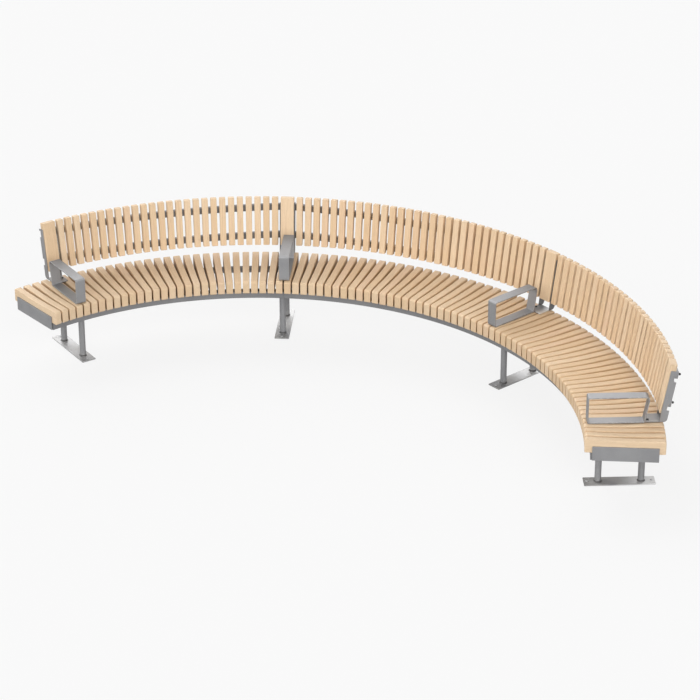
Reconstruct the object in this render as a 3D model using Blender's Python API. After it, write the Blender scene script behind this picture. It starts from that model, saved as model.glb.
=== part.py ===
import math

import bmesh
import bpy
from mathutils import Matrix, Vector

# A curved street bench of three modules on one arc: radial seat slats on round-bent rails,
# leaning back slats, four supports with brackets and armrests.
# Lengths are in metres. A station counts seat slats from the left end of the bench.

# arc and modules
moduleArc = math.radians(45.0)
moduleNames = ("left", "middle", "right")
slatsPerModule = 29
slatPitch = moduleArc / slatsPerModule
benchArc = moduleArc * len(moduleNames)
lastStation = slatsPerModule * len(moduleNames)
endSupportInset = 4.6
jointSupportShift = 0.3
jointStations = [m * slatsPerModule - jointSupportShift for m in range(1, len(moduleNames))]
supportStations = [endSupportInset, *jointStations, lastStation - endSupportInset]

# fits
restGap = 0.0003
bendGap = 0.0005
sideGap = 0.0005
sinkDepth = 0.0005

# seat slats
seatFrontRadius = 2.081
seatDepth = 0.500
seatSlatGap = 0.0109
seatSlatWidth = seatFrontRadius * slatPitch - seatSlatGap
seatSlatBottom = 0.3553
seatSlatHeight = 0.0907
seatDip = 0.005
noseRound = 0.015
tailRound = 0.012
toeRound = 0.008
dipShares = ((0.24, 0.66), (0.50, 1.0), (0.76, 0.58))
seatTop = seatSlatBottom + seatSlatHeight
seatTailRadius = seatFrontRadius + seatDepth

# rails under the seat, set back from the two ends of the slats
frontRailSetback = 0.037
frontRailRadius = seatFrontRadius + frontRailSetback
frontRailWidth = 0.050
frontRailHeight = 0.050
rearRailSetback = 0.084
rearRailRadius = seatTailRadius - rearRailSetback
rearRailWidth = 0.040
rearRailHeight = 0.035
endPlateToe = 0.011
endPlateHeel = 0.004
endPlateHeight = 0.096
endPlateThickness = 0.008

# supports: a post just inside each rail, on a plate that runs past both posts
postDiameter = 0.042
frontPostClearance = 0.003
rearPostClearance = 0.011
frontPostRadius = frontRailRadius + frontRailWidth + frontPostClearance + postDiameter / 2
rearPostRadius = rearRailRadius - rearPostClearance - postDiameter / 2
bearerWidth = 0.040
bearerHeight = 0.040
basePlateToe = 0.090
basePlateHeel = 0.089
basePlateStart = frontPostRadius - basePlateToe
basePlateEnd = rearPostRadius + basePlateHeel
basePlateWidth = 0.100
basePlateThickness = 0.008
anchorHoleDiameter = 0.014
anchorInset = 0.022

# back
backLean = math.radians(9.5)
backFootSetback = 0.032
backFootLift = 0.062
backFootRadius = seatTailRadius - backFootSetback
backFootHeight = seatTop + backFootLift
backSlatLength = 0.343
backSlatWidth = 0.0425
backSlatThickness = 0.045
backSlatCounts = (26, 32, 26)
plankWidth = 0.092
plankThickness = 0.0437
backRailHeight = 0.040
backRailThickness = 0.030
lowerBackRailRise = 0.0445
upperBackRailRise = 0.242

# back brackets
cheekThickness = 0.006
cheekSetback = 0.011
cheekWidth = 0.048
cheekTop = 0.300
cheekHeelRound = 0.025
webThickness = 0.005
webSetback = 0.003
notchRelief = 0.001
footThickness = 0.010
cheekLift = 0.001

# armrests
armrestWidth = 0.071
armrestThickness = 0.008
armrestSetback = 0.021
armrestRadius = seatFrontRadius + armrestSetback
armrestClearance = 0.076
armrestHeight = 0.181
armrestShifts = (-0.0385, 0.022, -0.035, 0.0215)
armrestCornerRound = 0.012
armrestElbowRound = 0.026
armrestInnerRound = 0.005

roundSteps = 4
postSteps = 32
holeSteps = 16

for old in list(bpy.data.objects):
    bpy.data.objects.remove(old, do_unlink=True)

benchParts = bpy.data.collections.new("curved_bench")
cutterParts = bpy.data.collections.new("cutters")
bpy.context.scene.collection.children.link(benchParts)
bpy.context.scene.collection.children.link(cutterParts)


def finish(name, color, roughness, metallic):
    made = bpy.data.materials.new(name)
    made.use_nodes = True
    shader = made.node_tree.nodes["Principled BSDF"]
    shader.inputs["Base Color"].default_value = (*color, 1.0)
    shader.inputs["Roughness"].default_value = roughness
    shader.inputs["Metallic"].default_value = metallic
    made.diffuse_color = (*color, 1.0)
    return made


slatWood = finish("slat_wood", (0.75, 0.56, 0.35), 0.55, 0.0)
frameSteel = finish("frame_steel", (0.32, 0.32, 0.33), 0.45, 0.6)


# The local frame of every outline: x outward from the arc centre, y along the bench, z up.
def station_turn(station):
    angle = station * slatPitch - benchArc / 2
    return Matrix.Rotation(math.pi / 2 - angle, 4, "Z")


def add_prism(bm, outline, width, shift, turn):
    """An outline in the radial plane, carried along the bench by its width."""
    start = [bm.verts.new((r, -shift + width / 2, z)) for r, z in outline]
    face = bm.faces.new(start)
    grown = bmesh.ops.extrude_face_region(bm, geom=[face])["geom"]
    moved = [item for item in grown if isinstance(item, bmesh.types.BMVert)]
    bmesh.ops.translate(bm, verts=moved, vec=(0.0, -width, 0.0))
    bmesh.ops.transform(bm, matrix=turn, verts=start + moved)


def add_bend(bm, outline, start_station, end_station, steps):
    """An outline in the radial plane, swept round the arc centre."""
    face = bm.faces.new([bm.verts.new((r, 0.0, z)) for r, z in outline])
    bmesh.ops.transform(bm, matrix=station_turn(start_station), verts=list(face.verts))
    bmesh.ops.spin(
        bm,
        geom=[face, *face.verts, *face.edges],
        cent=(0.0, 0.0, 0.0),
        axis=(0.0, 0.0, 1.0),
        angle=-(end_station - start_station) * slatPitch,
        steps=steps,
        use_duplicate=False,
    )


def add_post(bm, radius, diameter, low, high, turn):
    bmesh.ops.create_cone(
        bm,
        cap_ends=True,
        segments=postSteps,
        radius1=diameter / 2,
        radius2=diameter / 2,
        depth=high - low,
        matrix=turn @ Matrix.Translation((radius, 0.0, (low + high) / 2)),
    )


def make_object(name, bm, material, home):
    bmesh.ops.recalc_face_normals(bm, faces=bm.faces)
    mesh = bpy.data.meshes.new(name)
    bm.to_mesh(mesh)
    bm.free()
    mesh.materials.append(material)
    made = bpy.data.objects.new(name, mesh)
    home.objects.link(made)
    return made


def add_cutter(name, bm):
    cutter = make_object(name, bm, frameSteel, cutterParts)
    cutter.hide_render = True
    cutter.display_type = "WIRE"
    return cutter


def combine(target, operation, *others):
    for other in others:
        step = target.modifiers.new(other.name, "BOOLEAN")
        step.operation = operation
        step.solver = "EXACT"
        step.object = other


def rounded(corners):
    """Corners given as (radius, height, round) made into an outline with arcs."""
    outline = []
    for i, (r, z, size) in enumerate(corners):
        here = Vector((r, z))
        if size == 0:
            outline.append((r, z))
            continue
        back = (Vector(corners[i - 1][:2]) - here).normalized()
        ahead = (Vector(corners[(i + 1) % len(corners)][:2]) - here).normalized()
        half = back.angle(ahead) / 2
        centre = here + (back + ahead).normalized() * (size / math.sin(half))
        first = here + back * (size / math.tan(half)) - centre
        last = here + ahead * (size / math.tan(half)) - centre
        sweep = first.angle_signed(last)
        for k in range(roundSteps + 1):
            turned = first.copy()
            turned.rotate(Matrix.Rotation(-sweep * k / roundSteps, 2))
            outline.append(tuple(centre + turned))
    return outline


# leaning frame of the back: along its length and through its thickness
def back_point(along, depth):
    return (
        backFootRadius + along * math.sin(backLean) + depth * math.cos(backLean),
        backFootHeight + along * math.cos(backLean) - depth * math.sin(backLean),
    )


def back_box(along_low, along_high, depth_low, depth_high):
    return [
        back_point(along_low, depth_low),
        back_point(along_high, depth_low),
        back_point(along_high, depth_high),
        back_point(along_low, depth_high),
    ]


def box_outline(r_low, r_high, z_low, z_high):
    return [(r_low, z_low), (r_low, z_high), (r_high, z_high), (r_high, z_low)]


# seat
railTop = seatSlatBottom - restGap
frontRailBottom = railTop - frontRailHeight

slatCorners = [(seatFrontRadius, seatSlatBottom, toeRound), (seatFrontRadius, seatTop, noseRound)]
for depthShare, dipShare in dipShares:
    slatCorners.append((seatFrontRadius + seatDepth * depthShare, seatTop - seatDip * dipShare, 0))
slatCorners.append((seatTailRadius, seatTop, tailRound))
slatCorners.append((seatTailRadius, seatSlatBottom, toeRound))
slatOutline = rounded(slatCorners)

frontRailOutline = box_outline(
    frontRailRadius,
    frontRailRadius + frontRailWidth,
    frontRailBottom,
    railTop,
)
rearRailOutline = box_outline(
    rearRailRadius,
    rearRailRadius + rearRailWidth,
    railTop - rearRailHeight,
    seatSlatBottom + sinkDepth,
)


# A rail stops where the flat end plate lies against the side of the end slat.
def add_rail(bm, outline, radius, first_slat, last_slat):
    to_plate = 0.5 - math.asin((seatSlatWidth / 2 - sideGap) / radius) / slatPitch
    to_joint = restGap / radius / slatPitch
    start = first_slat + (to_plate if first_slat == 0 else to_joint)
    end = last_slat - (to_plate if last_slat == lastStation else to_joint)
    add_bend(bm, outline, start, end, last_slat - first_slat)


# Each module's front rail is one piece. Its slats are two rows, each on its length of the rear rail.
for m, side in enumerate(moduleNames):
    firstSlat = m * slatsPerModule
    middleSlat = firstSlat + slatsPerModule // 2
    lastSlat = firstSlat + slatsPerModule

    bm = bmesh.new()
    add_rail(bm, frontRailOutline, frontRailRadius, firstSlat, lastSlat)
    make_object(f"seat_front_rail_{side}", bm, frameSteel, benchParts)

    for row, (start, end) in enumerate(((firstSlat, middleSlat), (middleSlat, lastSlat)), start=1):
        bm = bmesh.new()
        for i in range(start, end):
            add_prism(bm, slatOutline, seatSlatWidth, 0.0, station_turn(i + 0.5))
        slats = make_object(f"seat_slats_{side}_{row}", bm, slatWood, benchParts)
        bm = bmesh.new()
        add_rail(bm, rearRailOutline, rearRailRadius, start, end)
        combine(slats, "UNION", add_cutter(f"rear_rail_{side}_{row}", bm))

# end plates
endPlateOutline = box_outline(
    frontRailRadius + endPlateToe,
    rearRailRadius + rearRailWidth + endPlateHeel,
    frontRailBottom,
    frontRailBottom + endPlateHeight,
)
endPlateShift = seatSlatWidth / 2 + restGap + endPlateThickness / 2
for side, station, way in (("left", 0.5, -1), ("right", lastStation - 0.5, 1)):
    bm = bmesh.new()
    add_prism(bm, endPlateOutline, endPlateThickness, way * endPlateShift, station_turn(station))
    make_object(f"end_plate_{side}", bm, frameSteel, benchParts)

# Back slats and their two rails. The rails of a module end at the middle of its two supports.
plankHalfArc = (plankWidth / 2) / backFootRadius
backRailDepth = backSlatThickness
lowerRailLow = lowerBackRailRise - backRailHeight / 2
lowerRailHigh = lowerRailLow + backRailHeight
upperRailLow = upperBackRailRise - backRailHeight / 2
upperRailHigh = upperRailLow + backRailHeight
for m, side in enumerate(moduleNames):
    fromStation = supportStations[m]
    toStation = supportStations[m + 1]
    count = backSlatCounts[m]
    halfPlank = plankHalfArc / slatPitch
    halfSlat = (backSlatWidth / 2) / backFootRadius / slatPitch
    clear = toStation - fromStation - 2 * halfPlank - 2 * halfSlat * count
    step = clear / (count + 1) + 2 * halfSlat
    first = toStation - fromStation - step * (count - 1)

    bm = bmesh.new()
    for i in range(count):
        turn = station_turn(fromStation + first / 2 + step * i)
        outline = back_box(0.0, backSlatLength, 0.0, backSlatThickness)
        add_prism(bm, outline, backSlatWidth, 0.0, turn)
    slats = make_object(f"back_slats_{side}", bm, slatWood, benchParts)

    railGap = restGap / backFootRadius / slatPitch
    railStart = fromStation + railGap
    railEnd = toStation - railGap

    bm = bmesh.new()
    outline = back_box(
        lowerRailLow,
        lowerRailHigh,
        backRailDepth - sinkDepth,
        backRailDepth + backRailThickness,
    )
    add_bend(bm, outline, railStart, railEnd, count)
    combine(slats, "UNION", add_cutter(f"lower_back_rail_{side}", bm))

    bm = bmesh.new()
    outline = back_box(
        upperRailLow,
        upperRailHigh,
        backRailDepth + bendGap,
        backRailDepth + backRailThickness,
    )
    add_bend(bm, outline, railStart, railEnd, count)
    make_object(f"upper_back_rail_{side}", bm, frameSteel, benchParts)

# supports
bearerBottom = railTop - bearerHeight
postTop = bearerBottom - restGap
postBottom = basePlateThickness + restGap
footBottom = seatTop + restGap
lowerNotchDepth = backRailDepth - sinkDepth - notchRelief
upperNotchDepth = backRailDepth + bendGap - notchRelief
webFront = plankThickness + restGap
outerCheek = plankWidth / 2 + sideGap + cheekThickness
cheekBottom = footBottom + cheekLift
cheekDepth = cheekSetback + cheekWidth


def depth_at(height, depth):
    """Radius of the bracket at a height, for a depth behind the front of the slats."""
    along = (height - backFootHeight + depth * math.sin(backLean)) / math.cos(backLean)
    return back_point(along, depth)[0]


def cheek_outline():
    """The flat side of a bracket, notched from behind for the two rails."""
    corners = [
        (depth_at(cheekBottom, cheekSetback), cheekBottom, 0),
        (*back_point(cheekTop, cheekSetback), 0),
        (*back_point(cheekTop, cheekDepth), 0),
    ]
    for low, high, depth in (
        (upperRailLow, upperRailHigh, upperNotchDepth),
        (lowerRailLow, lowerRailHigh, lowerNotchDepth),
    ):
        corners.append((*back_point(high + notchRelief, cheekDepth), 0))
        corners.append((*back_point(high + notchRelief, depth), 0))
        corners.append((*back_point(low - notchRelief, depth), 0))
        corners.append((*back_point(low - notchRelief, cheekDepth), 0))
    corners.append((depth_at(cheekBottom, cheekDepth), cheekBottom, cheekHeelRound))
    return rounded(corners)


armrestTop = footBottom + armrestHeight
armrestSlope = math.tan(backLean)
armrestRear = depth_at(footBottom, 0.0) - armrestClearance


def armrest_outline(inset, corner, elbow):
    low = footBottom + inset
    high = armrestTop - inset
    front = armrestRadius + inset
    rear = armrestRear - inset / math.cos(backLean)
    return rounded(
        [
            (front, low, corner),
            (front, high, corner),
            (rear + (high - footBottom) * armrestSlope, high, elbow),
            (rear + (low - footBottom) * armrestSlope, low, corner),
        ]
    )


for k, (station, armrestShift) in enumerate(zip(supportStations, armrestShifts), start=1):
    turn = station_turn(station)

    bm = bmesh.new()
    add_prism(
        bm,
        box_outline(basePlateStart, basePlateEnd, 0.0, basePlateThickness),
        basePlateWidth,
        0.0,
        turn,
    )
    plate = make_object(f"base_plate_{k}", bm, frameSteel, benchParts)
    bm = bmesh.new()
    holeInner = basePlateStart + anchorInset
    holeOuter = basePlateEnd - anchorInset
    for radius in (holeInner, holeOuter):
        bmesh.ops.create_cone(
            bm,
            cap_ends=True,
            segments=holeSteps,
            radius1=anchorHoleDiameter / 2,
            radius2=anchorHoleDiameter / 2,
            depth=3 * basePlateThickness,
            matrix=turn @ Matrix.Translation((radius, 0.0, basePlateThickness / 2)),
        )
    combine(plate, "DIFFERENCE", add_cutter(f"anchor_holes_{k}", bm))

    for name, radius in (("front_post", frontPostRadius), ("rear_post", rearPostRadius)):
        bm = bmesh.new()
        add_post(bm, radius, postDiameter, postBottom, postTop, turn)
        make_object(f"{name}_{k}", bm, frameSteel, benchParts)

    bm = bmesh.new()
    bearerStart = frontRailRadius + frontRailWidth + bendGap
    bearerEnd = rearRailRadius - bendGap
    outline = box_outline(bearerStart, bearerEnd, bearerBottom, railTop)
    add_prism(bm, outline, bearerWidth, 0.0, turn)
    make_object(f"bearer_{k}", bm, frameSteel, benchParts)

    bm = bmesh.new()
    outline = back_box(0.0, backSlatLength, 0.0, plankThickness)
    add_prism(bm, outline, plankWidth, 0.0, turn)
    make_object(f"back_plank_{k}", bm, slatWood, benchParts)

    bm = bmesh.new()
    cheekMiddle = outerCheek - cheekThickness / 2
    for way in (-1, 1):
        add_prism(bm, cheek_outline(), cheekThickness, way * cheekMiddle, turn)
    bracket = make_object(f"back_bracket_{k}", bm, frameSteel, benchParts)
    bm = bmesh.new()
    webLow = lowerRailHigh + webSetback
    webHigh = upperRailLow - webSetback
    outline = back_box(webLow, webHigh, webFront, webFront + webThickness)
    add_prism(bm, outline, 2 * cheekMiddle, 0.0, turn)
    web = add_cutter(f"bracket_web_{k}", bm)
    bm = bmesh.new()
    footFront = armrestRear + footThickness * armrestSlope + restGap
    footEnd = seatTailRadius - tailRound
    outline = box_outline(footFront, footEnd, footBottom, footBottom + footThickness)
    add_prism(bm, outline, 2 * outerCheek - cheekThickness, 0.0, turn)
    foot = add_cutter(f"bracket_foot_{k}", bm)
    combine(bracket, "UNION", web, foot)

    bm = bmesh.new()
    outline = armrest_outline(0.0, armrestCornerRound, armrestElbowRound)
    add_prism(bm, outline, armrestWidth, armrestShift, turn)
    armrest = make_object(f"armrest_{k}", bm, frameSteel, benchParts)
    bm = bmesh.new()
    elbow = armrestElbowRound - armrestThickness
    outline = armrest_outline(armrestThickness, armrestInnerRound, elbow)
    add_prism(bm, outline, 2 * armrestWidth, armrestShift, turn)
    combine(armrest, "DIFFERENCE", add_cutter(f"armrest_space_{k}", bm))

# The middle of the bench's box stands on the origin.
bpy.context.view_layer.update()
graph = bpy.context.evaluated_depsgraph_get()
corners = []
for made in benchParts.objects:
    shape = made.evaluated_get(graph)
    corners.extend(vertex.co.copy() for vertex in shape.data.vertices)
middleX = (min(c.x for c in corners) + max(c.x for c in corners)) / 2
middleY = (min(c.y for c in corners) + max(c.y for c in corners)) / 2
toOrigin = Matrix.Translation((-middleX, -middleY, 0.0))
for made in [*benchParts.objects, *cutterParts.objects]:
    made.data.transform(toOrigin)
print("arc centre", round(-middleX, 5), round(-middleY, 5))
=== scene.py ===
import math

import bpy
import numpy as np
from mathutils import Matrix, Vector


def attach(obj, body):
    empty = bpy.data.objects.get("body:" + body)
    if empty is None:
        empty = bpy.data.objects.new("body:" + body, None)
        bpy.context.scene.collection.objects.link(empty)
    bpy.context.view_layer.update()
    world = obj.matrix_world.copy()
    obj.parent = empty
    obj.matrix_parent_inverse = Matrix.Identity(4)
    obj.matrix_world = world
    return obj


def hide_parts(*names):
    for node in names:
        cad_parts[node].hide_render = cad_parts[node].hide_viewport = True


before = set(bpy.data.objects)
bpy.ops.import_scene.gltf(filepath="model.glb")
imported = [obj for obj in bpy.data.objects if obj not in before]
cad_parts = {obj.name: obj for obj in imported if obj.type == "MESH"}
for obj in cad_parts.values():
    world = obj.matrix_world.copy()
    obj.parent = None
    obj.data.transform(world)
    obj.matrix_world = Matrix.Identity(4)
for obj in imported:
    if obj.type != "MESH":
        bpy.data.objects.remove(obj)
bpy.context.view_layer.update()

# A long street bench on one arc: three modules of radial wooden slats on bent steel rails,
# with a leaning slatted back, four post supports, four brackets and four flat-bar armrests.
# Lengths are in metres. A station counts seat slats from the bench's left end.

bench = {
    "arcCentreY": -1.73379,
    "moduleArc": math.radians(45.0),
    "slatsPerModule": 29,
    "moduleNames": ("left", "middle", "right"),
    "supportStations": (4.6, 28.7, 57.7, 82.4),
    "railStepsPerSlat": 4,
    "restGap": 0.0003,
    "sharpAngle": math.radians(38.0),
    "seed": 27,
}
slatPitch = bench["moduleArc"] / bench["slatsPerModule"]
benchArc = bench["moduleArc"] * len(bench["moduleNames"])
lastStation = bench["slatsPerModule"] * len(bench["moduleNames"])
lastModule = len(bench["moduleNames"]) - 1
lastSupport = len(bench["supportStations"])
halfSlat = 0.5  # a slat's middle line is half a station past its count
endStations = {"left": halfSlat, "right": lastStation - halfSlat}
restGap = bench["restGap"]
chance = np.random.default_rng(bench["seed"])

# Each point of a piece carries a tone and a mark of wear and painted light for its material.
# Wood: tone from 0 to 1 picks the board's own colour. The mark up to 1 is a worn edge, from 1 to 1.5 a side
# with painted light, and below 0 a side with painted shade in a dark gap.
# Steel: tone 0.5 is the plain coat, 1 is painted shade and below 0 is painted light and reflection. The
# mark is a rubbed edge.
plainTone, paintedShadeTone = 0.5, 1.0


# Local frames, outlines and grids


# local (radial, across, height) to the bench's own frame, turned to a station on the arc
def placed(local, station):
    angle = np.asarray(station) * slatPitch - benchArc / 2
    radial, across, height = local[..., 0], local[..., 1], local[..., 2]
    x = radial * np.sin(angle) + across * np.cos(angle)
    y = radial * np.cos(angle) - across * np.sin(angle) + bench["arcCentreY"]
    return np.stack([x, y, height + 0 * x], axis=-1)


# corners (radial, height, round) to a closed outline: each corner is an arc that touches both sides,
# stepped by equal turns, and a long side has a point beside each arc, so that it stays flat
def roundedOutline(corners, steps=5, support=0.004):
    corners = np.asarray(corners, float)
    points = corners[:, :2]
    outline = []
    for i, (point, size) in enumerate(zip(points, corners[:, 2])):
        back = points[i - 1] - point
        ahead = points[(i + 1) % len(points)] - point
        backLength, aheadLength = np.linalg.norm(back), np.linalg.norm(ahead)
        back, ahead = back / backLength, ahead / aheadLength
        half = math.acos(np.clip(back @ ahead, -1, 1)) / 2
        reach = size / math.tan(half)
        arc = point[None]
        if size:
            middle = (back + ahead) / np.linalg.norm(back + ahead)
            centre = point + middle * size / math.sin(half)
            turn = np.linspace(0, 1, steps + 1)[:, None]
            start, end = point + back * reach - centre, point + ahead * reach - centre
            sweep = math.pi - 2 * half
            arc = (np.sin((1 - turn) * sweep) * start + np.sin(turn * sweep) * end) / math.sin(sweep)
            arc = arc + centre
        longSide = 3 * (reach + support)
        if backLength > longSide:
            outline.append(point + back * (reach + support))
        outline.extend(arc)
        if aheadLength > longSide:
            outline.append(point + ahead * (reach + support))
    outline = np.array(outline)
    ahead = np.roll(outline, -1, axis=0)
    area = outline[:, 0] @ ahead[:, 1] - outline[:, 1] @ ahead[:, 0]
    return outline if area > 0 else np.flip(outline, axis=0)


# a level box's outline from its low corner to its high corner
def boxOutline(low, high, corner):
    (r0, z0), (r1, z1) = low, high
    return roundedOutline([(r0, z0, corner), (r1, z0, corner), (r1, z1, corner), (r0, z1, corner)], steps=3)


# an outline pulled in by a distance: every point slides along its mitre
def pulledIn(outline, distance):
    edges = np.roll(outline, -1, axis=0) - outline
    normals = np.stack([-edges[:, 1], edges[:, 0]], axis=1) / np.linalg.norm(edges, axis=1)[:, None]
    before = np.roll(normals, 1, axis=0)
    mitre = (before + normals) / (1 + np.sum(before * normals, axis=1))[:, None]
    return outline + mitre * distance


# rows of one slab: the outline at places across the width, pulled in along a quarter turn at both edges
def slabRows(outline, width, edge, steps=3, support=0.003):
    turn = np.linspace(0, math.pi / 2, steps + 1)
    inset = np.concatenate([[edge + support], edge * (1 - np.sin(turn)), [0.0]])
    across = np.concatenate([[0.0], edge * (1 - np.cos(turn)), [edge + support]]) - width / 2
    inset = np.concatenate([inset, np.flip(inset)])
    across = np.concatenate([across, -np.flip(across)])
    rows = np.stack([pulledIn(outline, d) for d in inset])
    side = np.broadcast_to(across[:, None], rows.shape[:2])
    onEdge = (inset < edge) & (np.abs(across) > width / 2 - edge)
    wearAndPaintedLight = np.broadcast_to(onEdge[:, None], rows.shape[:2]).astype(float)
    return np.stack([rows[..., 0], side, rows[..., 1]], -1), wearAndPaintedLight


# rows of a steel slab, whose small roundings need fewer steps than those of the wood
def steelRows(outline, width, edge):
    return slabRows(outline, width, edge, steps=2, support=0.001)


class Shape:
    # gathers grids of points into one piece, with a grain place, a tone and a mark of wear and painted
    # light at each point

    def __init__(self):
        self.points, self.faces, self.grain, self.tone, self.wearAndPaintedLight = [], [], [], [], []
        self.count = 0

    # rows by columns of points; columns always close, rows close or get flat caps
    def addGrid(self, points, grain=None, tone=plainTone, wearAndPaintedLight=0.0, closeRows=False, flip=False):
        rows, columns = points.shape[:2]
        index = self.count + np.arange(rows * columns).reshape(rows, columns)
        lower = index if closeRows else index[:-1]
        upper = np.roll(index, -1, axis=0) if closeRows else index[1:]
        quads = [lower, upper, np.roll(upper, -1, 1), np.roll(lower, -1, 1)]
        faces = np.stack(quads, -1).reshape(-1, 4).tolist()
        if not closeRows:
            faces += [index[0].tolist(), np.flip(index[-1]).tolist()]
        self.faces += [face[::-1] for face in faces] if flip else faces
        flat = points.reshape(-1, 3)
        self.points.append(flat)
        self.grain.append(flat if grain is None else grain.reshape(-1, 3))
        self.tone.append(np.broadcast_to(tone, (rows, columns)).reshape(-1))
        self.wearAndPaintedLight.append(np.broadcast_to(wearAndPaintedLight, (rows, columns)).reshape(-1))
        self.count += rows * columns

    # makes the object and hides the nodes that it stands for
    def finish(self, name, material, slotName, *replaced):
        mesh = bpy.data.meshes.new(name)
        mesh.from_pydata(np.concatenate(self.points).tolist(), [], self.faces)
        for key, kind, grids, field in (
            ("grain", "FLOAT_VECTOR", self.grain, "vector"),
            ("tone", "FLOAT", self.tone, "value"),
            ("wearAndPaintedLight", "FLOAT", self.wearAndPaintedLight, "value"),
        ):
            data = np.concatenate(grids).astype(np.float32)
            mesh.attributes.new(key, kind, "POINT").data.foreach_set(field, data.ravel())
        mesh.shade_smooth()
        mesh.set_sharp_from_angle(angle=bench["sharpAngle"])
        mesh.materials.append(material)
        piece = bpy.data.objects.new(name, mesh)
        bpy.context.scene.collection.objects.link(piece)
        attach(piece, "root")
        if replaced:
            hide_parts(*replaced)


# a profile of (radius, height) spun round an axis through a local point:
# point + radius * (cos(turn) * side + sin(turn) * other side) + height * axis
def spun(profile, sides, origin, axis, side):
    profile = np.asarray(profile, float)
    axis, side = np.asarray(axis, float), np.asarray(side, float)
    other = np.cross(axis, side)
    turn = np.arange(sides) * 2 * math.pi / sides
    ring = np.cos(turn)[:, None] * side + np.sin(turn)[:, None] * other
    return np.asarray(origin) + profile[:, :1, None] * ring[None] + profile[:, 1:, None] * axis


# an outline swept round the arc centre through the stations; each row may rise along a direction
def bent(outline, stations, rises=None, direction=(0, 0, 1)):
    local = np.stack([outline[:, 0], np.zeros(len(outline)), outline[:, 1]], -1)[None]
    if rises is not None:
        local = local + rises[:, None, None] * np.array(direction)
    return placed(local, stations[:, None])


# Materials


class Wire:
    # a shader socket that takes part in sums; every operator adds one Math node

    def __init__(self, tree, socket):
        self.tree, self.socket = tree, socket

    def math(self, operation, *others, swap=False):
        node = self.tree.nodes.new("ShaderNodeMath")
        node.operation = operation
        values = [self, *others]
        for socket, value in zip(node.inputs, reversed(values) if swap else values):
            if isinstance(value, Wire):
                self.tree.links.new(value.socket, socket)
            else:
                socket.default_value = value
        return Wire(self.tree, node.outputs[0])

    def __add__(self, other):
        return self.math("ADD", other)

    __radd__ = __add__

    def __mul__(self, other):
        return self.math("MULTIPLY", other)

    __rmul__ = __mul__

    def __sub__(self, other):
        return self.math("SUBTRACT", other)

    def __rsub__(self, other):
        return self.math("SUBTRACT", other, swap=True)

    def __truediv__(self, other):
        return self.math("DIVIDE", other)


class Finish:
    # one material: a Principled shader and the nodes that feed it

    def __init__(self, name, **shaderValues):
        self.material = bpy.data.materials.new(name)
        self.material.use_nodes = True
        self.tree = self.material.node_tree
        self.shader = self.tree.nodes["Principled BSDF"]
        self.set(**shaderValues)

    # any node: its type, its settings and its sockets' values or links; gives the wanted output
    def add(self, kind, settings=None, sockets=None, output=0):
        node = self.tree.nodes.new("ShaderNode" + kind)
        for key, value in (settings or {}).items():
            setattr(node, key, value)
        for key, value in (sockets or {}).items():
            self.feed(node.inputs[key], value)
        return Wire(self.tree, node.outputs[output])

    def feed(self, socket, value):
        if isinstance(value, Wire):
            self.tree.links.new(value.socket, socket)
        else:
            socket.default_value = value

    def set(self, **values):
        for key, value in values.items():
            self.feed(self.shader.inputs[key.replace("_", " ")], value)

    def attribute(self, name, output):
        return self.add("Attribute", {"attribute_name": name}, output=output)

    def part(self, vector, which):
        return self.add("SeparateXYZ", {}, {0: vector}, output=which)

    def noise(self, vector, scale, detail=2.0, roughness=0.55, shift=(0, 0, 0)):
        spread = self.add("Mapping", {}, {"Vector": vector, "Scale": scale, "Location": shift})
        sockets = {"Vector": spread, "Scale": 1.0, "Detail": detail, "Roughness": roughness}
        return self.add("TexNoise", {}, sockets)

    # a number between two limits, eased, as a mask from 0 to 1
    def between(self, value, low, high):
        sockets = {"Value": value, "From Min": low, "From Max": high}
        return self.add("MapRange", {"interpolation_type": "SMOOTHSTEP"}, sockets)

    def blend(self, factor, first, second):
        return self.add("Mix", {"data_type": "RGBA"}, {0: factor, 6: first, 7: second}, output=2)

    # a colour that comes in over another as a value goes from a low to a high, up to a share
    def layer(self, under, value, lowHighShare, over):
        low, high, share = lowHighShare
        return self.blend(self.between(value, low, high) * share, under, over)

    def bump(self, height, strength, distance):
        return self.add("Bump", {}, {"Height": height, "Strength": strength, "Distance": distance})


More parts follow.
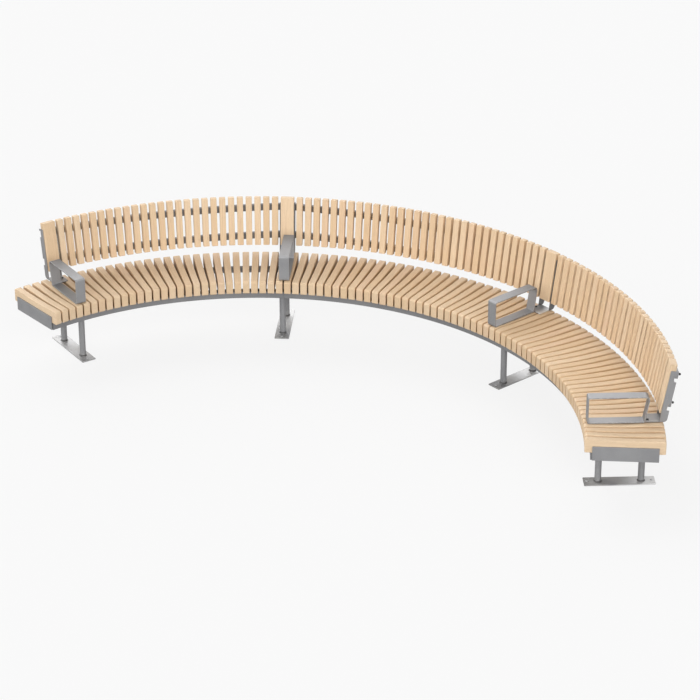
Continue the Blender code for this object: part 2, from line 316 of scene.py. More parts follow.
woodLook = {
    "pale": (0.768, 0.590, 0.404, 1.0),
    "honey": (0.715, 0.522, 0.330, 1.0),
    "rosy": (0.755, 0.552, 0.388, 1.0),
    "growth": (0.528, 0.350, 0.198, 1.0),
    "pore": (0.330, 0.210, 0.120, 1.0),
    # these three colours are painted shade in the gaps, painted shade on the seat slats' sides and painted
    # light on the back slats' sides
    "gap": (0.230, 0.120, 0.050, 1.0),
    "paintedShadeSide": (0.640, 0.410, 0.210, 1.0),
    "paintedLightSide": (0.890, 0.720, 0.530, 1.0),
    "ringSpacing": 0.0065,
    "ringSway": 0.030,
    "pithReach": (0.03, 0.11),  # how far the rings' pith may lie beside a slat
    "boardRun": 40,  # how far along the grain a slat may be cut
    # scales of the noises along the slat, across it and up
    "swayScale": (1.6, 9.0, 9.0),
    "patchScale": (2.2, 14.0, 14.0),
    "fibreScale": (9.0, 420.0, 420.0),
    "broadScale": (3.0, 110.0, 110.0),
    "poreScale": (26.0, 900.0, 900.0),
    # masks: the low and the high value
    "lateWood": (0.45, 0.96),
    "ringEnd": (0.97, 1.0),
    "ringPatches": (0.25, 0.60),
    "pores": (0.66, 0.74),
    "wear": (0.30, 0.60),
    # layers: the low and the high value, and the share of the new colour
    "honeyTone": (0.15, 0.85, 1.0),
    "rosyTone": (0.80, 0.95, 0.60),
    "honeyPatches": (0.35, 0.70, 0.35),
    "fibres": (0.45, 0.72, 0.26),
    "broadFibres": (0.50, 0.80, 0.20),
    # painted light on the back slats' sides, painted shade on the seat slats' sides, and darker painted
    # shade deeper in the gaps
    "paintedLightSides": (1.0, 1.5, 0.70),
    "paintedShadeSides": (0.0, 0.2, 0.50),
    "paintedGapShade": (0.05, 0.85, 0.75),
    "ringStrength": 0.30,
    "poreStrength": 0.50,
    "wearStrength": 0.30,
    "specular": 0.35,
    "roughness": 0.52,
    "roughnessBy": {"fibre": 0.14, "late": -0.05, "wearAndPaintedLight": 0.05},
    "reliefBy": {"fibre": 0.50, "late": 0.35, "pore": -0.50},
    "reliefStrength": 0.35,
    "reliefDepth": 0.0006,
}


# solid wood: rings round a pith that lies beside each slat, fibres and pores drawn out along it;
# a ring is the fraction of (distance from the pith + sway) / spacing
def makeWood(look):
    wood = Finish("oiledSlatWood", Specular_IOR_Level=look["specular"])
    grain = wood.attribute("grain", "Vector")
    tone, wearAndPaintedLight = wood.attribute("tone", "Fac"), wood.attribute("wearAndPaintedLight", "Fac")
    side, up = wood.part(grain, 1), wood.part(grain, 2)
    sway = wood.noise(grain, look["swayScale"])
    radius = (side * side + up * up).math("SQRT") + sway * look["ringSway"]
    ring = (radius / look["ringSpacing"]).math("FRACT")
    late = wood.between(ring, *look["lateWood"]) * (1 - wood.between(ring, *look["ringEnd"]))
    patch = wood.noise(grain, look["patchScale"], shift=(5, 3, 1))
    fibre = wood.noise(grain, look["fibreScale"], detail=3.0, roughness=0.6)
    broad = wood.noise(grain, look["broadScale"], shift=(2, 7, 4))
    pore = wood.noise(grain, look["poreScale"], detail=1.0, shift=(1, 5, 9))
    pore = wood.between(pore, *look["pores"])
    color = wood.layer(look["pale"], tone, look["honeyTone"], look["honey"])
    color = wood.layer(color, tone, look["rosyTone"], look["rosy"])
    color = wood.layer(color, patch, look["honeyPatches"], look["honey"])
    rings = late * look["ringStrength"] * wood.between(patch, *look["ringPatches"])
    color = wood.blend(rings, color, look["growth"])
    color = wood.layer(color, fibre, look["fibres"], look["growth"])
    color = wood.layer(color, broad, look["broadFibres"], look["growth"])
    color = wood.blend(pore * look["poreStrength"], color, look["pore"])
    wear = wearAndPaintedLight * wood.between(broad, *look["wear"]) * look["wearStrength"]
    color = wood.blend(wear, color, look["pale"])
    # painted light on the back slats' sides, and painted shade on the seat slats' sides in the gaps
    color = wood.layer(color, wearAndPaintedLight, look["paintedLightSides"], look["paintedLightSide"])
    color = wood.layer(color, wearAndPaintedLight * -1, look["paintedShadeSides"], look["paintedShadeSide"])
    color = wood.layer(color, wearAndPaintedLight * -1, look["paintedGapShade"], look["gap"])
    dull, rough = look["roughnessBy"], look["reliefBy"]
    shine = look["roughness"] + fibre * dull["fibre"] + late * dull["late"] + wearAndPaintedLight * dull["wearAndPaintedLight"]
    relief = fibre * rough["fibre"] + late * rough["late"] + pore * rough["pore"]
    bump = wood.bump(relief, look["reliefStrength"], look["reliefDepth"])
    wood.set(Base_Color=color, Roughness=shine, Normal=bump)
    return wood.material


steelLook = {
    "coat": (0.294, 0.294, 0.299, 1.0),
    "coatDark": (0.252, 0.252, 0.258, 1.0),
    "edge": (0.470, 0.470, 0.476, 1.0),
    "dust": (0.430, 0.420, 0.400, 1.0),
    # painted shade, laid on by a high tone
    "paintedShade": (0.105, 0.103, 0.102, 1.0),
    # painted light and reflection, laid on by a tone below zero
    "paintedLight": (0.640, 0.640, 0.640, 1.0),
    "edgeTint": (0.30, 0.30, 0.31, 1.0),
    "cloudScale": (5, 5, 5),
    "flakeScale": (1900, 1900, 1900),
    "peelScale": (420, 420, 420),
    "scuffScale": (60, 60, 18),
    # masks: the low and the high value
    "scuffs": (0.4, 0.6),
    "dustHeights": (0.005, 0.07),
    "dustPatches": (0.35, 0.65),
    "paintedShadeTones": (plainTone, paintedShadeTone),
    "paintedLightTones": (0.0, 1.2),
    # layers: the low and the high value, and the share of the new colour
    "clouds": (0.3, 0.7, 1.0),
    "flakes": (0.60, 0.75, 0.35),
    "scuffStrength": 0.5,
    "dustStrength": 0.5,
    # the share that is even and the share that follows the clouds
    "paintedShadeShares": (0.7, 0.3),
    "paintedLightShares": (0.8, 0.2),
    "specular": 0.30,
    "metallic": 0.50,
    "roughness": 0.40,
    "roughnessBy": {"cloud": 0.08, "dusty": 0.15, "flake": 0.06},
    "reliefBy": {"peel": 0.8, "flake": 0.2},
    "reliefStrength": 0.22,
    "reliefDepth": 0.0004,
}


# coated steel: a fine orange-peel skin with metal flakes, paler on edges, dusty near the ground, with
# painted shade and painted light laid on by the tone
def makeSteel(look):
    values = {"Metallic": look["metallic"], "Specular_Tint": look["edgeTint"]}
    steel = Finish("coatedFrameSteel", Specular_IOR_Level=look["specular"], **values)
    here = steel.add("TexCoord", output="Object")
    wearAndPaintedLight, tone = steel.attribute("wearAndPaintedLight", "Fac"), steel.attribute("tone", "Fac")
    cloud = steel.noise(here, look["cloudScale"], detail=4.0)
    flake = steel.noise(here, look["flakeScale"], detail=1.0)
    peel = steel.noise(here, look["peelScale"])
    scuff = steel.noise(here, look["scuffScale"], detail=4.0, roughness=0.7)
    low = 1 - steel.between(steel.part(here, 2), *look["dustHeights"])
    dusty = low * steel.between(cloud, *look["dustPatches"])
    color = steel.layer(look["coatDark"], cloud, look["clouds"], look["coat"])
    color = steel.layer(color, flake, look["flakes"], look["edge"])
    rubbed = wearAndPaintedLight * steel.between(scuff, *look["scuffs"]) * look["scuffStrength"]
    color = steel.blend(rubbed, color, look["edge"])
    color = steel.blend(dusty * look["dustStrength"], color, look["dust"])
    # painted shade where the tone is above the plain coat
    even, clouded = look["paintedShadeShares"]
    paintedShading = steel.between(tone, *look["paintedShadeTones"]) * (even + cloud * clouded)
    color = steel.blend(paintedShading, color, look["paintedShade"])
    # painted light and reflection where the tone is below zero
    even, clouded = look["paintedLightShares"]
    paintedLighting = steel.between(tone * -1, *look["paintedLightTones"]) * (even + cloud * clouded)
    color = steel.blend(paintedLighting, color, look["paintedLight"])
    dull, rough = look["roughnessBy"], look["reliefBy"]
    shine = look["roughness"] + cloud * dull["cloud"] + dusty * dull["dusty"] + flake * dull["flake"]
    relief = peel * rough["peel"] + flake * rough["flake"]
    bump = steel.bump(relief, look["reliefStrength"], look["reliefDepth"])
    steel.set(Base_Color=color, Roughness=shine, Normal=bump)
    return steel.material


boltFinishes = {
    "black": {"dark": (0.020, 0.020, 0.021, 1), "pale": (0.055, 0.050, 0.046, 1), "metallic": 0.6},
    "zinc": {"dark": (0.300, 0.305, 0.310, 1), "pale": (0.460, 0.460, 0.465, 1), "metallic": 0.8},
    "cloudScale": (140, 140, 140),
    "clouds": (0.4, 0.7, 1.0),
    "specular": 0.5,
    "roughness": 0.34,
    "roughnessByCloud": 0.2,
    "reliefStrength": 0.2,
    "reliefDepth": 0.0003,
}


# bolts: black ones behind the back, plain zinc ones at the base plates; both clouded between two tones
def makeBolt(look, name, dark, pale, metallic):
    bolt = Finish(name, Specular_IOR_Level=look["specular"], Metallic=metallic)
    cloud = bolt.noise(bolt.add("TexCoord", output="Object"), look["cloudScale"], detail=3.0)
    color = bolt.layer(dark, cloud, look["clouds"], pale)
    shine = look["roughness"] + cloud * look["roughnessByCloud"]
    bump = bolt.bump(cloud, look["reliefStrength"], look["reliefDepth"])
    bolt.set(Base_Color=color, Roughness=shine, Normal=bump)
    return bolt.material


slatWood, frameSteel = makeWood(woodLook), makeSteel(steelLook)
boltBlack = makeBolt(boltFinishes, "blackBolts", **boltFinishes["black"])
boltZinc = makeBolt(boltFinishes, "zincBolts", **boltFinishes["zinc"])
print("materials ready")

# Seat

seatSlat = {
    "frontRadius": 2.081,
    "depth": 0.500,
    "gap": 0.0109,
    "bottom": 0.3553,
    "height": 0.0907,
    "dip": 0.005,
    "noseRound": 0.013,
    "tailRound": 0.012,
    "toeRound": 0.008,
    "edgeRound": 0.0035,
    # the dip's start and length, and the first, last and number of its points, in shares of the depth
    "dipStart": 0.05,
    "dipLength": 0.90,
    "dipPower": 1.4,
    "dipPoints": (0.12, 0.88, 9),
}
seatSlatWidth = seatSlat["frontRadius"] * slatPitch - seatSlat["gap"]
seatTop = seatSlat["bottom"] + seatSlat["height"]
seatTail = seatSlat["frontRadius"] + seatSlat["depth"]


# a slat from the side: a box with rounded ends, whose top dips by dip * sin(half turn along it) ^ power
def seatOutline(look):
    front, bottom = look["frontRadius"], look["bottom"]
    share = np.linspace(*look["dipPoints"])
    turn = np.pi * (share - look["dipStart"]) / look["dipLength"]
    dips = seatTop - look["dip"] * np.sin(turn) ** look["dipPower"]
    corners = [(front, bottom, look["toeRound"]), (front, seatTop, look["noseRound"])]
    corners += [(front + look["depth"] * s, z, 0) for s, z in zip(share, dips)]
    corners += [(seatTail, seatTop, look["tailRound"]), (seatTail, bottom, look["toeRound"])]
    return roundedOutline(corners)


# the grain's place: along the slat, across it and up, moved to a ring radius of its own
def slatGrain(local, axes, origin):
    angle, reach = chance.uniform(0, 2 * math.pi), chance.uniform(*woodLook["pithReach"])
    run = chance.uniform(0, woodLook["boardRun"])
    offset = np.array([run, reach * math.cos(angle), reach * math.sin(angle)])
    return (local - np.asarray(origin)) @ axes.T + offset


# a mark below zero paints shade on the slats' sides, deeper towards the bottom, where the gaps are dark;
# the two sides that face outwards at the bench's ends stay plain
rows, wearAndPaintedLight = slabRows(seatOutline(seatSlat), seatSlatWidth, seatSlat["edgeRound"])
depth = (seatTop - rows[..., 2]) / seatSlat["height"]
wearAndPaintedLight[[0, -1]] = -depth[[0, -1]]
openSides = {endStations["left"]: 0, endStations["right"]: -1}
for m, side in enumerate(bench["moduleNames"]):
    shape = Shape()
    for i in range(bench["slatsPerModule"]):
        grain = slatGrain(rows, np.eye(3), (seatSlat["frontRadius"], 0, seatSlat["bottom"]))
        station = m * bench["slatsPerModule"] + i + halfSlat
        sides = wearAndPaintedLight.copy()
        if station in openSides:
            sides[openSides[station]] = 0
        shape.addGrid(placed(rows, station), grain, chance.uniform(), sides)
    shape.finish(f"seatSlats_{side}", slatWood, "slat_wood", f"seat_slats_{side}_1", f"seat_slats_{side}_2")
print("seat slats ready")

# shades are tones of painted shade: the rails are painted dark under the slats
seatRails = {
    "joint": 0.0012,
    "endGap": 0.0005,
    "corner": 0.004,
    "topShade": 0.90,
    "front": {"radius": 2.118, "width": 0.050, "height": 0.050, "shade": 0.68},
    "rear": {"radius": 2.497, "width": 0.040, "height": 0.035, "shade": 0.60},
}


# a square tube bent to the arc, cut short at the end plates and at the joints of the modules
def seatRail(look, m, radius, width, height, shade):
    top = seatSlat["bottom"] - restGap
    outline = boxOutline((radius, top - height), (radius + width, top), look["corner"])
    tone = np.where(outline[:, 1] > top - look["corner"] / 2, look["topShade"], shade)
    toPlate = halfSlat - math.asin((seatSlatWidth / 2 - look["endGap"]) / radius) / slatPitch
    toJoint = look["joint"] / 2 / radius / slatPitch
    count = bench["slatsPerModule"]
    start = m * count + (toPlate if m == 0 else toJoint)
    end = (m + 1) * count - (toPlate if m == lastModule else toJoint)
    stations = np.linspace(start, end, bench["railStepsPerSlat"] * count + 1)
    return bent(outline, stations), tone[None]


for m, side in enumerate(bench["moduleNames"]):
    rowNodes = (f"seat_slats_{side}_1", f"seat_slats_{side}_2")
    for name, replaced in (("front", (f"seat_front_rail_{side}",)), ("rear", rowNodes)):
        shape = Shape()
        rail, tone = seatRail(seatRails, m, **seatRails[name])
        shape.addGrid(rail, tone=tone)
        shape.finish(f"{name}SeatRail_{side}", frameSteel, "frame_steel", *replaced)

endPlate = {
    "toe": 0.011,
    "heel": 0.004,
    "height": 0.096,
    "thickness": 0.008,
    "corner": 0.003,
    "edge": 0.001,
}


# an upright plate that closes both seat rails: it starts on the front rail and ends past the rear rail
def endPlateRows(look):
    low = seatSlat["bottom"] - restGap - seatRails["front"]["height"]
    start = seatRails["front"]["radius"] + look["toe"]
    end = seatRails["rear"]["radius"] + seatRails["rear"]["width"] + look["heel"]
    outline = boxOutline((start, low), (end, low + look["height"]), look["corner"])
    return steelRows(outline, look["thickness"], look["edge"])


rows, wearAndPaintedLight = endPlateRows(endPlate)
for side, way in (("left", -1), ("right", 1)):
    shift = way * (seatSlatWidth / 2 + restGap + endPlate["thickness"] / 2)
    shape = Shape()
    shape.addGrid(placed(rows + (0, shift, 0), endStations[side]), wearAndPaintedLight=wearAndPaintedLight)
    shape.finish(f"endPlate_{side}", frameSteel, "frame_steel", f"end_plate_{side}")
print("rails and end plates ready")

# Back

back = {
    "lean": math.radians(9.5),
    "footSetback": 0.032,
    "footLift": 0.062,
    "length": 0.343,
    "slatWidth": 0.0425,
    "slatThickness": 0.042,
    "slatCounts": (26, 32, 26),
    "plankWidth": 0.092,
    "plankThickness": 0.0437,
    "edgeRound": 0.004,
    # these values paint light on the back slats' sides: most in the right module, none in the middle one
    "sidePaintedLight": (1.20, 1.00, 1.50),  # how pale the slats' sides are in each module
    "railHeight": 0.045,
    "railThickness": 0.033,
    "railShade": 0.78,
    "railPlainRows": 3,
    "railRises": {"lower": (0.0432, 0.0355, 0.0347), "upper": (0.2432, 0.2355, 0.2347)},
    "railMiddles": (15.8, 43.2, 72.35),
    "railRadius": 2.600,
    "railCorner": 0.003,
    "bendGap": 0.0005,
}
sine, cosine = math.sin(back["lean"]), math.cos(back["lean"])
footRadius, footHeight = seatTail - back["footSetback"], seatTop + back["footLift"]
halfRail = back["railHeight"] / 2
railFront = back["slatThickness"] + back["bendGap"]
railRear = back["slatThickness"] + back["railThickness"]


# along the slat and through its thickness to radius and height
def leaning(along, depth):
    return footRadius + along * sine + depth * cosine, footHeight + along * cosine - depth * sine


# the outline of a leaning box, given along the slat and through its thickness
def backBox(alongLow, alongHigh, depthLow, depthHigh, corner):
    places = ((alongLow, depthLow), (alongLow, depthHigh), (alongHigh, depthHigh), (alongHigh, depthLow))
    return roundedOutline([(*leaning(*place), corner) for place in places], steps=3)


backAxes = np.array([[sine, 0, cosine], [0, 1, 0], [cosine, 0, -sine]])
backOrigin = (footRadius, 0, footHeight)
stationLength = footRadius * slatPitch


# narrow slats share out the room between two planks evenly
def backStations(m):
    start, end = bench["supportStations"][m : m + 2]
    count = back["slatCounts"][m]
    room = (end - start) * stationLength - back["plankWidth"] - back["slatWidth"] * count
    step = (room / (count + 1) + back["slatWidth"]) / stationLength
    return (start + end) / 2 + step * (np.arange(count) - (count - 1) / 2)


# a rail is bent in one plane that leans with the back, so away from its middle it climbs the slats:
# rise = rise at the middle + radius * sin(lean) * (1 - cos(angle from the middle))
def railRise(name, m, station):
    turn = (station - back["railMiddles"][m]) * slatPitch
    return back["railRises"][name][m] + back["railRadius"] * sine * (1 - np.cos(turn))


# at a support the rise is the mean of the rails that end there
def supportRise(name, k):
    modules = [m for m in (k - 2, k - 1) if 0 <= m <= lastModule]
    return float(np.mean([railRise(name, m, bench["supportStations"][k - 1]) for m in modules]))


# the stations of a back rail's rows, from one support's middle line to the next
def backRailStations(m):
    start, end = bench["supportStations"][m : m + 2]
    toJoint = seatRails["joint"] / 2 / stationLength
    steps = bench["railStepsPerSlat"] * back["slatCounts"][m]
    return np.linspace(start + toJoint, end - toJoint, steps + 1)


# a back rail's tone at each row: painted shade behind the slats, plain at the bench's two ends
def backRailTone(m, rowCount):
    tone = np.full((rowCount, 1), back["railShade"])
    if m == 0:
        tone[: back["railPlainRows"]] = plainTone
    if m == lastModule:
        tone[-back["railPlainRows"] :] = plainTone
    return tone


slatOutline = backBox(0, back["length"], 0, back["slatThickness"], back["edgeRound"])
railOutline = backBox(-halfRail, halfRail, railFront, railRear, back["railCorner"])
for m, side in enumerate(bench["moduleNames"]):
    rows, wearAndPaintedLight = slabRows(slatOutline, back["slatWidth"], back["edgeRound"])
    # the slats' sides get painted light
    wearAndPaintedLight[[0, 1, -2, -1]] = back["sidePaintedLight"][m]
    shape = Shape()
    for station in backStations(m):
        shape.addGrid(placed(rows, station), slatGrain(rows, backAxes, backOrigin), chance.uniform(), wearAndPaintedLight)
    shape.finish(f"backSlats_{side}", slatWood, "slat_wood", f"back_slats_{side}")

    stations = backRailStations(m)
    for name, replaced in (("lower", f"back_slats_{side}"), ("upper", f"upper_back_rail_{side}")):
        rail = bent(railOutline, stations, railRise(name, m, stations), backAxes[0])
        shape = Shape()
        shape.addGrid(rail, tone=backRailTone(m, len(stations)))
        shape.finish(f"{name}BackRail_{side}", frameSteel, "frame_steel", replaced)

plankOutline = backBox(0, back["length"], 0, back["plankThickness"], back["edgeRound"])
rows, wearAndPaintedLight = slabRows(plankOutline, back["plankWidth"], back["edgeRound"])
for k, station in enumerate(bench["supportStations"], start=1):
    shape = Shape()
    shape.addGrid(placed(rows, station), slatGrain(rows, backAxes, backOrigin), chance.uniform(), wearAndPaintedLight)
    shape.finish(f"backPlank_{k}", slatWood, "slat_wood", f"back_plank_{k}")
print("back slats, planks and rails ready")

# Armrests and brackets

armrest = {
    "width": 0.071,
    "thickness": 0.008,
    "setback": 0.021,
    "clearance": 0.076,
    "height": 0.181,
    "shifts": (-0.0385, 0.022, -0.035, 0.0215),
    "cornerRound": 0.012,
    "elbowRound": 0.026,
    "edge": 0.0016,
}
bracket = {
    "cheekThickness": 0.006,
    "sideGap": 0.0005,
    "setback": 0.011,
    "width": 0.048,
    "top": 0.300,
    "cornerRound": 0.002,
    "heelRound": 0.025,
    "webThickness": 0.005,
    "webSetback": 0.003,
    "webCorner": 0.001,
    "webEdge": 0.0005,
    "notchRelief": 0.001,
    "footThickness": 0.010,
    "lift": 0.001,
    "edge": 0.0009,
    "gapShade": 0.82,
    # tones at the left side and at the right side of each foot, which paint light on it, and shade on the
    # third foot's left side
    "footTones": ((-0.2, -0.4), (0.5, 0.5), (0.9, -1.2), (-0.1, -0.3)),
}
footBottom = seatTop + restGap
cheekMiddle = back["plankWidth"] / 2 + bracket["sideGap"] + bracket["cheekThickness"] / 2


# the place at a height on a leaning line that lies at a depth behind the slats' faces
def atHeight(height, depth):
    along = (height - footHeight + depth * sine) / cosine
    return leaning(along, depth)[0], height


armrestFront = seatSlat["frontRadius"] + armrest["setback"]
armrestRear = atHeight(footBottom, 0)[0] - armrest["clearance"]


# a bracket's flat side: it leans with the back, and its rear edge is notched for the two rails
def cheekOutline(look, k):
    full = look["setback"] + look["width"]
    low = footBottom + look["lift"]
    corners = [
        (*atHeight(low, look["setback"]), 0),
        (*leaning(look["top"], look["setback"]), look["cornerRound"]),
        (*leaning(look["top"], full), look["cornerRound"]),
    ]
    reach = halfRail + look["notchRelief"]
    for name, reliefs in (("upper", 1), ("lower", 2)):
        middle = supportRise(name, k)
        floor = railFront - look["notchRelief"] * reliefs
        corners += [
            (*leaning(middle + reach, full), look["cornerRound"]),
            (*leaning(middle + reach, floor), look["cornerRound"]),
            (*leaning(middle - reach, floor), look["cornerRound"]),
            (*leaning(middle - reach, full), look["cornerRound"]),
        ]
    corners.append((*atHeight(low, full), look["heelRound"]))
    return roundedOutline(corners, steps=6, support=0.002)


# the two cheeks beside a plank, with painted shade where they face the gaps; the ones that face outwards at
# the bench's ends are plain
def addCheeks(look, shape, k, station):
    rows, wearAndPaintedLight = steelRows(cheekOutline(look, k), look["cheekThickness"], look["edge"])
    for way in (-1, 1):
        atEnd = (k, way) in ((1, -1), (lastSupport, 1))
        tone = plainTone if atEnd else look["gapShade"]
        shape.addGrid(placed(rows + (0, way * cheekMiddle, 0), station), tone=tone, wearAndPaintedLight=wearAndPaintedLight)


# the web behind a plank, between the two rails
def addWeb(look, shape, k, station):
    reach = halfRail + look["webSetback"]
    front = back["plankThickness"] + restGap
    low, high = supportRise("lower", k) + reach, supportRise("upper", k) - reach
    outline = backBox(low, high, front, front + look["webThickness"], look["webCorner"])
    rows, wearAndPaintedLight = steelRows(outline, 2 * cheekMiddle, look["webEdge"])
    shape.addGrid(placed(rows, station), wearAndPaintedLight=wearAndPaintedLight)


# the flat foot on the seat, from behind the armrest to the slats' rear ends
def addFoot(look, shape, k, station):
    start = armrestRear + look["footThickness"] * math.tan(back["lean"]) + restGap
    end = seatTail - seatSlat["tailRound"]
    top = footBottom + look["footThickness"]
    outline = boxOutline((start, footBottom), (end, top), look["cornerRound"])
    rows, wearAndPaintedLight = steelRows(outline, 2 * cheekMiddle, look["edge"])
    # the foot's tones paint light and shade across it
    tone = np.interp(rows[..., 1], (-cheekMiddle, cheekMiddle), look["footTones"][k - 1])
    shape.addGrid(placed(rows, station), tone=tone, wearAndPaintedLight=wearAndPaintedLight)


for k, station in enumerate(bench["supportStations"], start=1):
    shape = Shape()
    for addPart in (addCheeks, addWeb, addFoot):
        addPart(bracket, shape, k, station)
    shape.finish(f"backBracket_{k}", frameSteel, "frame_steel", f"back_bracket_{k}")
print("brackets ready")


# a flat bar's section carried round a closed loop with four rounded corners
def armrestRows(look):
    half = look["thickness"] / 2
    low, high = footBottom + half, footBottom + look["height"] - half
    front, rear = armrestFront + half, armrestRear - half / cosine
    lean = (high - footBottom) * math.tan(back["lean"])
    corner, elbow = look["cornerRound"] - half, look["elbowRound"] - half
    corners = [(front, low, corner), (rear, low, corner), (rear + lean, high, elbow), (front, high, corner)]
    path = roundedOutline(corners, steps=8)
    section = boxOutline((-half, -look["width"] / 2), (half, look["width"] / 2), look["edge"])
    rows = np.stack([pulledIn(path, d) for d in -section[:, 0]], axis=1)
    across = np.broadcast_to(section[:, 1], rows.shape[:2])
    wearAndPaintedLight = np.abs(across) > look["width"] / 2 - look["edge"]
    return np.stack([rows[..., 0], across, rows[..., 1]], -1), wearAndPaintedLight.astype(float)


rows, wearAndPaintedLight = armrestRows(armrest)
for k, (station, shift) in enumerate(zip(bench["supportStations"], armrest["shifts"]), start=1):
    shape = Shape()
    shape.addGrid(placed(rows + (0, shift, 0), station), wearAndPaintedLight=wearAndPaintedLight, closeRows=True)
    shape.finish(f"armrest_{k}.bar", frameSteel, "frame_steel", f"armrest_{k}")
print("armrests ready")

# Supports

support = {
    "plateToe": 0.090,
    "plateHeel": 0.089,
    "plateWidth": 0.100,
    "plateThickness": 0.008,
    "plateCorner": 0.003,
    "plateEdge": 0.001,
    "postDiameter": 0.042,
    "postSides": 48,
    "frontClearance": 0.003,
    "rearClearance": 0.011,
    "bearerHeight": 0.040,
    "weld": 0.005,
    "weldPoints": 5,
    "weldFade": (1.5, 2.5),  # heights in welds between which the painted shade ends
    "anchorInset": 0.022,
    # tones at the front end and at the rear end of each plate, which paint a reflection growing towards the
    # rear, and shade at the last plate's front end
    "plateTones": ((-0.38, -0.66), (0.2, -1.3), (0.3, -1.5), (0.75, -1.3)),
}
postRadius = support["postDiameter"] / 2
frontRailEnd = seatRails["front"]["radius"] + seatRails["front"]["width"]
frontPost = frontRailEnd + support["frontClearance"] + postRadius
rearPost = seatRails["rear"]["radius"] - support["rearClearance"] - postRadius
plateStart, plateEnd = frontPost - support["plateToe"], rearPost + support["plateHeel"]


# plan of the plate is its outline; its thickness is the slab's width, so the rows are turned upright
def plateRows(look):
    half = look["plateWidth"] / 2
    outline = boxOutline((plateStart, -half), (plateEnd, half), look["plateCorner"])
    rows, wearAndPaintedLight = steelRows(outline, look["plateThickness"], look["plateEdge"])
    return rows[..., [0, 2, 1]] * (1, -1, 1) + (0, 0, look["plateThickness"] / 2), wearAndPaintedLight


# a round tube on a fillet weld, up to the bearer; all its rings but the last two carry painted shade, a
# painted shadow round its foot
def postRows(look, radius):
    weld, bottom = look["weld"], look["plateThickness"]
    top = seatSlat["bottom"] - look["bearerHeight"] - 2 * restGap
    turn = np.linspace(0, math.pi / 2, look["weldPoints"])
    profile = [(postRadius + weld, bottom - restGap)]
    profile += [(postRadius + weld * math.cos(a), bottom + weld * math.sin(a)) for a in turn]
    profile += [(postRadius, bottom + weld * height) for height in look["weldFade"]]
    profile.append((postRadius, top))
    tone = np.full((len(profile), look["postSides"]), plainTone)
    tone[:-2] = paintedShadeTone
    return spun(profile, look["postSides"], (radius, 0, 0), (0, 0, 1), (1, 0, 0)), tone


boltLook = {
    "rail": {"size": 0.0082, "height": 0.0110, "shank": 0.0080},
    "foot": {"size": 0.0080, "height": 0.0075},
    "anchor": {"size": 0.0085, "height": 0.0050},
    "railAcross": 0.025,
    # behind the armrest and across from the support's middle, where the photograph shows each one
    "footPlaces": ((0.048, 0.034), (0.020, 0.022), (0.055, -0.038), (0.019, 0.030)),
    "collar": 0.35,  # the collar's share of a head's height
    "domePoints": (0, 0.94, 6),
    "sides": 20,
}


# a domed head on a collar, or on a thinner shank that stands out from its seat:
# radius = size * cos(turn), height = collar + the rest * sin(turn)
def boltHead(origin, axis, side, size, height, shank=0.0):
    turn = np.linspace(*boltLook["domePoints"]) * math.pi / 2
    collar = boltLook["collar"]
    profile = [(size / 2, 0.0), (size / 2, shank)] if shank else []
    profile.append((size, shank))
    profile += [(size * math.cos(a), shank + height * (collar + (1 - collar) * math.sin(a))) for a in turn]
    return spun(profile, boltLook["sides"], origin, axis, side)


# an upright bolt at a radius, an across and a height
def uprightBolt(origin, look):
    return boltHead(origin, (0, 0, 1), (1, 0, 0), **look)


# the bolts of both back rails at a support, one for each module whose rails end there
def railBolts(k):
    for name in back["railRises"]:
        radius, height = leaning(supportRise(name, k), railRear)
        for way in {1: (1,), lastSupport: (-1,)}.get(k, (-1, 1)):
            origin = (radius, way * boltLook["railAcross"], height)
            yield boltHead(origin, (cosine, 0, -sine), (0, 1, 0), **boltLook["rail"])


for k, station in enumerate(bench["supportStations"], start=1):
    rows, wearAndPaintedLight = plateRows(support)
    # the plate's tones paint a reflection growing towards the rear, and shade at a dark front end
    tone = np.interp(rows[..., 0], (plateStart, plateEnd), support["plateTones"][k - 1])
    shape = Shape()
    shape.addGrid(placed(rows, station), tone=tone, wearAndPaintedLight=wearAndPaintedLight)
    shape.finish(f"basePlate_{k}", frameSteel, "frame_steel", f"base_plate_{k}")
    for name, node, radius in (("frontPost", "front_post", frontPost), ("rearPost", "rear_post", rearPost)):
        shape = Shape()
        rows, tone = postRows(support, radius)
        shape.addGrid(placed(rows, station), tone=tone, flip=True)
        shape.finish(f"{name}_{k}", frameSteel, "frame_steel", f"{node}_{k}")

    shape = Shape()
    for radius in (plateStart + support["anchorInset"], plateEnd - support["anchorInset"]):
        head = uprightBolt((radius, 0, support["plateThickness"]), boltLook["anchor"])
        shape.addGrid(placed(head, station), flip=True)
    shape.finish(f"anchorBolts_{k}", boltZinc, "frame_steel")

    shape = Shape()
    setback, across = boltLook["footPlaces"][k - 1]
    footTop = footBottom + bracket["footThickness"]
    footBolt = uprightBolt((armrestRear + setback, across, footTop), boltLook["foot"])
    for head in (*railBolts(k), footBolt):
        shape.addGrid(placed(head, station), flip=True)
    shape.finish(f"backBolts_{k}", boltBlack, "frame_steel")
    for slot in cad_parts[f"bearer_{k}"].material_slots:
        slot.material = frameSteel
print("supports and bolts ready")

# Stage: camera, floor, lamps and air

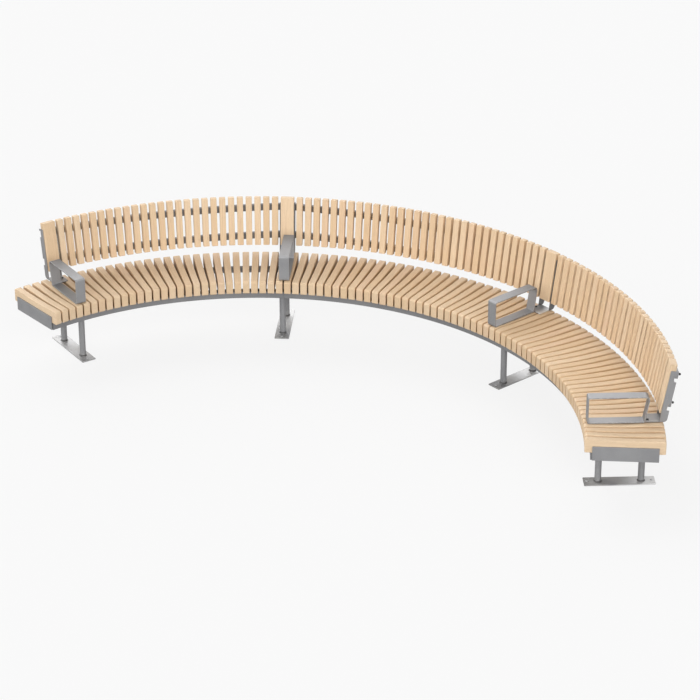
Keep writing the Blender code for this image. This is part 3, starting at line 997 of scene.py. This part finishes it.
studio = {
    "cameraDistance": 15.0609,
    "cameraHeight": 8.6171,
    "cameraBearing": math.radians(150.2047),
    "heading": math.radians(-27.3774),
    "pitch": math.radians(26.9172),
    "roll": math.radians(-0.0817),
    "focalPixels": 2767.1,
    "framePixels": 700,
    "sensorWidth": 36.0,
    "viewLimit": 200.0,
    "floorSize": 120.0,
    "floorRoughness": 0.9,
    "floorGlow": 0.966,
    "floorGlowShare": 0.86,
    "floorSeen": 0.80,
    "floorUnseen": 0.36,
    "air": 0.01,
    "airSeen": 0.937,
    "airInGloss": 0.98,
    # name: strength, bearing, height above the floor, apparent size, all angles in degrees
    "lamps": {
        "backKey": (1.60, -27.0, 30.0, 60.0),
        "backLeft": (1.20, -65.0, 40.0, 50.0),
        "leftFill": (1.75, 232.0, 17.0, 70.0),
        "frontFill": (2.10, 155.0, 17.0, 75.0),
        "rightFill": (1.50, 118.0, 18.0, 70.0),
    },
}


# the camera stands at a bearing and a distance from the arc's centre, and looks down along its heading
def makeCamera(look):
    data = bpy.data.cameras.new("viewer")
    data.sensor_width = look["sensorWidth"]
    data.lens = look["focalPixels"] * data.sensor_width / look["framePixels"]
    data.clip_end = look["viewLimit"]
    camera = bpy.data.objects.new("viewer", data)
    bpy.context.scene.collection.objects.link(camera)
    heading, pitch, bearing = look["heading"], look["pitch"], look["cameraBearing"]
    level = Vector((math.sin(heading), math.cos(heading), 0.0))
    ahead = level * math.cos(pitch) - Vector((0, 0, math.sin(pitch)))
    right = Vector((math.cos(heading), -math.sin(heading), 0.0))
    turn = Matrix((right, right.cross(ahead), -ahead)).transposed() @ Matrix.Rotation(look["roll"], 3, "Z")
    x = look["cameraDistance"] * math.sin(bearing)
    y = look["cameraDistance"] * math.cos(bearing) + bench["arcCentreY"]
    camera.matrix_world = Matrix.Translation((x, y, look["cameraHeight"])) @ turn.to_4x4()
    bpy.context.scene.camera = camera


# the floor glows for the camera and in reflections, and keeps the shadows in the rest of its share
def makeFloor(look):
    half = look["floorSize"] / 2
    mesh = bpy.data.meshes.new("studioFloor")
    corners = [(x * half, y * half, 0) for x, y in ((-1, -1), (1, -1), (1, 1), (-1, 1))]
    mesh.from_pydata(corners, [], [(0, 1, 2, 3)])
    floor = bpy.data.objects.new("studioFloor", mesh)
    bpy.context.scene.collection.objects.link(floor)
    paint = Finish("studioFloor", Roughness=look["floorRoughness"], Specular_IOR_Level=0.0)
    rays = ("Is Camera Ray", "Is Glossy Ray", "Is Transmission Ray")
    onCamera, onGlossy, throughGlass = (paint.add("LightPath", output=ray) for ray in rays)
    seen, unseen = look["floorSeen"], look["floorUnseen"]
    paint.set(Base_Color=paint.blend(onCamera, (unseen, unseen, unseen, 1), (seen, seen, seen, 1)))
    glow = look["floorGlow"]
    light = paint.add("Emission", {}, {"Color": (glow, glow, glow, 1), "Strength": 1.0})
    share = (onCamera + onGlossy + throughGlass).math("MINIMUM", 1.0) * look["floorGlowShare"]
    diffuse = Wire(paint.tree, paint.shader.outputs[0])
    mixed = paint.add("MixShader", {}, {0: share, 1: diffuse, 2: light})
    paint.feed(paint.tree.nodes["Material Output"].inputs["Surface"], mixed)
    mesh.materials.append(paint.material)


# a soft lamp far away, from a bearing clockwise from +Y and a height above the floor
def makeLamp(name, strength, bearing, height, size):
    data = bpy.data.lights.new(name, "SUN")
    data.energy, data.angle = strength, math.radians(size)
    bearing, height = math.radians(bearing), math.radians(height)
    level = Vector((math.sin(bearing), math.cos(bearing), 0.0))
    toLamp = level * math.cos(height) + Vector((0, 0, math.sin(height)))
    lamp = bpy.data.objects.new(name, data)
    lamp.rotation_euler = toLamp.to_track_quat("Z", "Y").to_euler()
    bpy.context.scene.collection.objects.link(lamp)


# the air is pale for the camera and in gloss, and gives the bench almost no light
def makeAir(look):
    world = bpy.data.worlds.new("studioAir")
    bpy.context.scene.world = world
    world.use_nodes = True
    backdrop = world.node_tree.nodes["Background"]
    backdrop.inputs["Color"].default_value = (1, 1, 1, 1)
    rays = world.node_tree.nodes.new("ShaderNodeLightPath").outputs
    onCamera, onGlossy = (Wire(world.node_tree, rays[f"Is {kind} Ray"]) for kind in ("Camera", "Glossy"))
    strength = onCamera * look["airSeen"] + onGlossy * look["airInGloss"] + look["air"]
    world.node_tree.links.new(strength.socket, backdrop.inputs["Strength"])


makeCamera(studio)
makeFloor(studio)
for name, values in studio["lamps"].items():
    makeLamp(name, *values)
makeAir(studio)
bpy.context.scene.view_settings.view_transform = "Standard"
print("studio ready")
